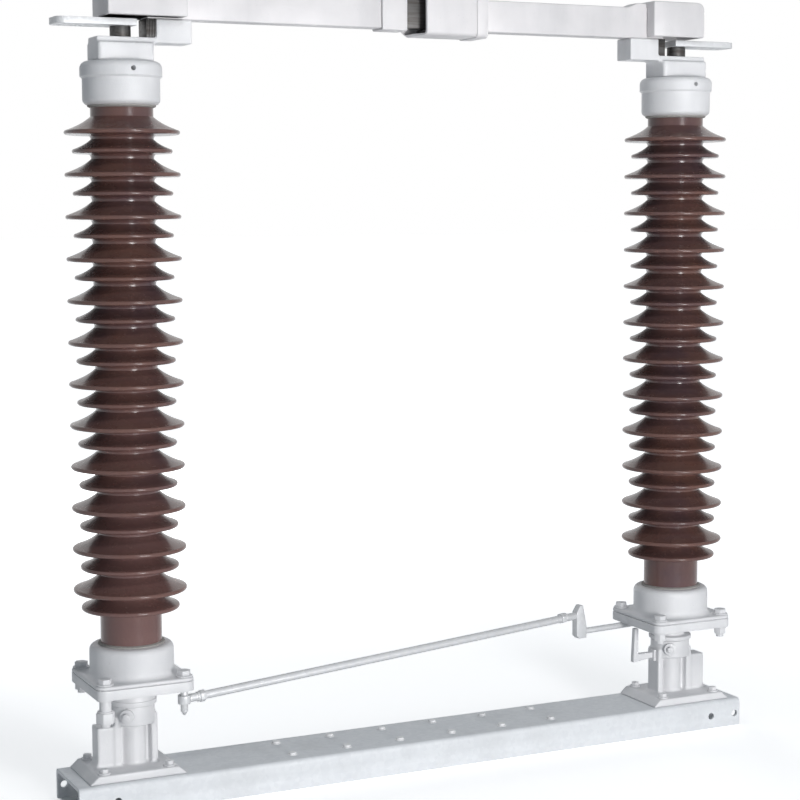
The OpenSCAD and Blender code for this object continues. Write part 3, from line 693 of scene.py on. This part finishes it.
# round boss with its plug on the front of each bearing head
boss = {
    "turn": 32.0, "radius": 39.5 * mm, "drop": 17.0 * mm,
    "plug": {"head": 15.0 * mm, "height": 6.0 * mm, "washer": 27.0 * mm, "washerHeight": 6.5 * mm,
             "edge": 1.4 * mm},
}
out = Vector((-math.sin(math.radians(boss["turn"])), -math.cos(math.radians(boss["turn"])), 0))
for side in inwardOf:
    middle = Vector((columnAxis[side], 0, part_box(side + "_pedestal")[1][2] - boss["drop"]))
    hexBolts(side + "BearingPlug", [(middle + boss["radius"] * out, out)], "base", boss["plug"])

# two rows of round heads along the web
webHeads = {
    "first": -295.0 * mm, "pitch": 115.0 * mm, "count": 6, "row": 43.0 * mm,
    "head": {"head": 15.0 * mm, "height": 4.0 * mm, "washer": 20.0 * mm, "washerHeight": 1.4 * mm,
             "sides": 24, "edge": 0.6 * mm},
}
spots = [Vector((webHeads["first"] + i * webHeads["pitch"], y, webTop))
         for i in range(webHeads["count"]) for y in (-webHeads["row"], webHeads["row"])]
hexBolts("webHeads", [(p, up) for p in spots], "base", webHeads["head"], boltZinc)
print("bearing plugs and web heads set")

# jam nuts on the link's rod
linkNut = {
    "fromEye": 26.0 * mm, "fromStrap": 24.0 * mm, "rod": 14.0 * mm, "head": 23.0 * mm, "height": 11.0 * mm,
    "washer": 19.0 * mm, "washerHeight": 5.0 * mm,
}
low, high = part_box("link_rod")
pin = lugPoints("left", 0.0, (lug["linkCorner"],))[0]
flat = Vector((2 * abs(columnAxis["left"]), -2 * pin.y, 0)).normalized()
slope = (high[2] - low[2] - linkNut["rod"]) / (high[0] - low[0])
along = Vector((flat.x, flat.y, slope * flat.x)).normalized()
near = Vector((pin.x, pin.y, low[2] + linkNut["rod"] / 2))
far = near + along * ((high[0] - pin.x) / along.x)
spots = [(near + along * linkNut["fromEye"], along), (far - along * linkNut["fromStrap"], -along)]
hexBolts("linkJamNuts", spots, "link", linkNut, rodZinc)

# pointed end of the link's left pin
pinEnd = {
    "radius": 7.0 * mm, "flat": 3.0 * mm, "point": 11.0 * mm, "tip": 1.6 * mm, "around": 48, "smooth": 30,
}
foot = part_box("link_left_eye")[0][2]
outline = [(0.0, foot - pinEnd["point"] - pinEnd["tip"] / 2), (pinEnd["tip"], foot - pinEnd["point"]),
           (pinEnd["radius"], foot - pinEnd["flat"]), (pinEnd["radius"], foot), (0.0, foot)]
mesh = lathe(outline, (pin.x, pin.y), pinEnd["around"])
addPiece("linkPinPoint", mesh, rodZinc, "link", pinEnd["smooth"])
print("link nuts set")

# laminated straps that carry the current from each terminal's stud to its arm, in the dark contact finish
# that paints the shade under the cover
strap = {
    "count": 6, "first": 43.5 * mm, "pitch": 3.0 * mm, "thick": 2.3 * mm, "width": 46.0 * mm,
    "height": 34.0 * mm, "edge": 0.5 * mm,
}
strapTree, strapInput = stripTree()
values = {
    strapInput["Strip size"]: (strap["thick"], strap["width"], strap["height"]),
    strapInput["Finish"]: shadedContactMetal,
}
for side, inward in inwardOf.items():
    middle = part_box(side + "_contact_seat")[1][2] - strap["height"] / 2
    spots = [Vector((columnAxis[side] + inward * (strap["first"] + i * strap["pitch"]), 0, middle))
             for i in range(strap["count"])]
    grow(side + "ContactStraps", [(p, up) for p in spots], strapTree, values, side + "_column", shadedContactMetal,
         strap["edge"])
print("contact straps set")


# stage: floor, light and camera

studio = {
    "floorReach": 60.0, "floorTone": (0.86, 0.86, 0.865, 1), "floorRough": 0.9,
    "glow": (0.56, 0.82), "glowReach": (0.9, 2.6), "underEdge": 6.0 * mm,
    "backdrop": 1.0, "soft": (0.78, 0.90, 1.0, 1), "softStrength": 0.235,
}
lamps = {
    "key": {"place": (0.3, -4.2, 0.62), "aim": (0.0, 0.0, 0.75), "power": 116.0, "size": (0.95, 1.25),
            "mirrored": True},
    "high": {"place": (-0.1, -2.6, 3.4), "aim": (-0.1, 0.0, 0.6), "power": 23.0, "size": (0.5, 0.5),
             "mirrored": True},
    "back": {"place": (0.2, 4.6, 1.2), "aim": (0.0, 0.0, 0.7), "power": 95.0, "size": (2.0, 2.0),
             "mirrored": False},
}
view = {"place": (-1.662, -3.370, 1.113), "yaw": 25.69, "pitch": 5.84, "roll": -0.23, "lens": 85.7,
        "sensor": 36.0}


def seenDirectly(tree):
    # one for camera, mirror and glass rays, nothing for the light that falls on the part
    path = tree.nodes.new("ShaderNodeLightPath")
    total = path.outputs["Is Camera Ray"]
    for kind in ("Is Glossy Ray", "Is Transmission Ray"):
        made = tree.nodes.new("ShaderNodeMath")
        made.operation = "MAXIMUM"
        tree.links.new(total, made.inputs[0])
        tree.links.new(path.outputs[kind], made.inputs[1])
        total = made.outputs[0]
    return total


def floorGlow(mat, coords):
    # full far off, less close to the part so that its shadow shows, and none under the channel
    away = shaderNode(mat, "ShaderNodeVectorMath", {0: coords}, operation="LENGTH").outputs["Value"]
    glow = rangeOf(mat, away, *studio["glowReach"], *studio["glow"])
    xyz = shaderNode(mat, "ShaderNodeSeparateXYZ", {0: coords}).outputs
    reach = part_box("base_channel")[1]
    past = [mathOf(mat, "SUBTRACT", mathOf(mat, "ABSOLUTE", xyz[i]), reach[i]) for i in (0, 1)]
    outside = rangeOf(mat, mathOf(mat, "MAXIMUM", *past), -studio["underEdge"], 0.0)
    return mathOf(mat, "MULTIPLY", glow, outside)


def makeFloor():
    finish = {"Base_Color": studio["floorTone"], "Roughness": studio["floorRough"]}
    mat, shader, coords = newMaterial("paleFloor", **finish)
    strength = mathOf(mat, "MULTIPLY", seenDirectly(mat.node_tree), floorGlow(mat, coords))
    glow = shaderNode(mat, "ShaderNodeEmission", {"Color": (1, 1, 1, 1), "Strength": strength})
    both = shaderNode(mat, "ShaderNodeAddShader", {0: shader.outputs[0], 1: glow.outputs[0]})
    mat.node_tree.links.new(both.outputs[0], mat.node_tree.nodes["Material Output"].inputs["Surface"])
    ground = bpy.data.meshes.new("floor")
    reach = studio["floorReach"]
    corners = [(-reach, -reach, 0), (reach, -reach, 0), (reach, reach, 0), (-reach, reach, 0)]
    ground.from_pydata(corners, [], [(0, 1, 2, 3)])
    ground.materials.append(mat)
    floor = bpy.data.objects.new("floor", ground)
    scene.collection.objects.link(floor)


def makeWorld():
    world = bpy.data.worlds.new("studio")
    scene.world = world
    world.use_nodes = True
    tree = world.node_tree
    soft = tree.nodes["Background"]
    soft.inputs["Color"].default_value = studio["soft"]
    soft.inputs["Strength"].default_value = studio["softStrength"]
    white = tree.nodes.new("ShaderNodeBackground")
    white.inputs["Color"].default_value = (1, 1, 1, 1)
    white.inputs["Strength"].default_value = studio["backdrop"]
    mix = tree.nodes.new("ShaderNodeMixShader")
    tree.links.new(seenDirectly(tree), mix.inputs[0])
    tree.links.new(soft.outputs[0], mix.inputs[1])
    tree.links.new(white.outputs[0], mix.inputs[2])
    tree.links.new(mix.outputs[0], tree.nodes["World Output"].inputs[0])


def addLamp(name, values):
    lamp = bpy.data.lights.new(name, "AREA")
    lamp.energy = values["power"]
    lamp.shape = "RECTANGLE"
    lamp.size, lamp.size_y = values["size"]
    made = bpy.data.objects.new(name, lamp)
    made.location = values["place"]
    aim = Vector(values["aim"]) - Vector(values["place"])
    made.rotation_euler = aim.to_track_quat("-Z", "Y").to_euler()
    made.visible_glossy = values["mirrored"]
    scene.collection.objects.link(made)


def addCamera():
    lens = bpy.data.cameras.new("photoView")
    lens.lens = view["lens"]
    lens.sensor_width = view["sensor"]
    camera = bpy.data.objects.new("photoView", lens)
    pan = Matrix.Rotation(math.radians(-view["yaw"]), 4, "Z")
    tilt = Matrix.Rotation(math.radians(90 - view["pitch"]), 4, "X")
    roll = Matrix.Rotation(math.radians(view["roll"]), 4, "Z")
    camera.matrix_world = Matrix.Translation(view["place"]) @ pan @ tilt @ roll
    scene.collection.objects.link(camera)
    scene.camera = camera


makeFloor()
makeWorld()
for name, values in lamps.items():
    addLamp(name, values)
addCamera()
scene.view_settings.view_transform = "Standard"
print("stage ready")
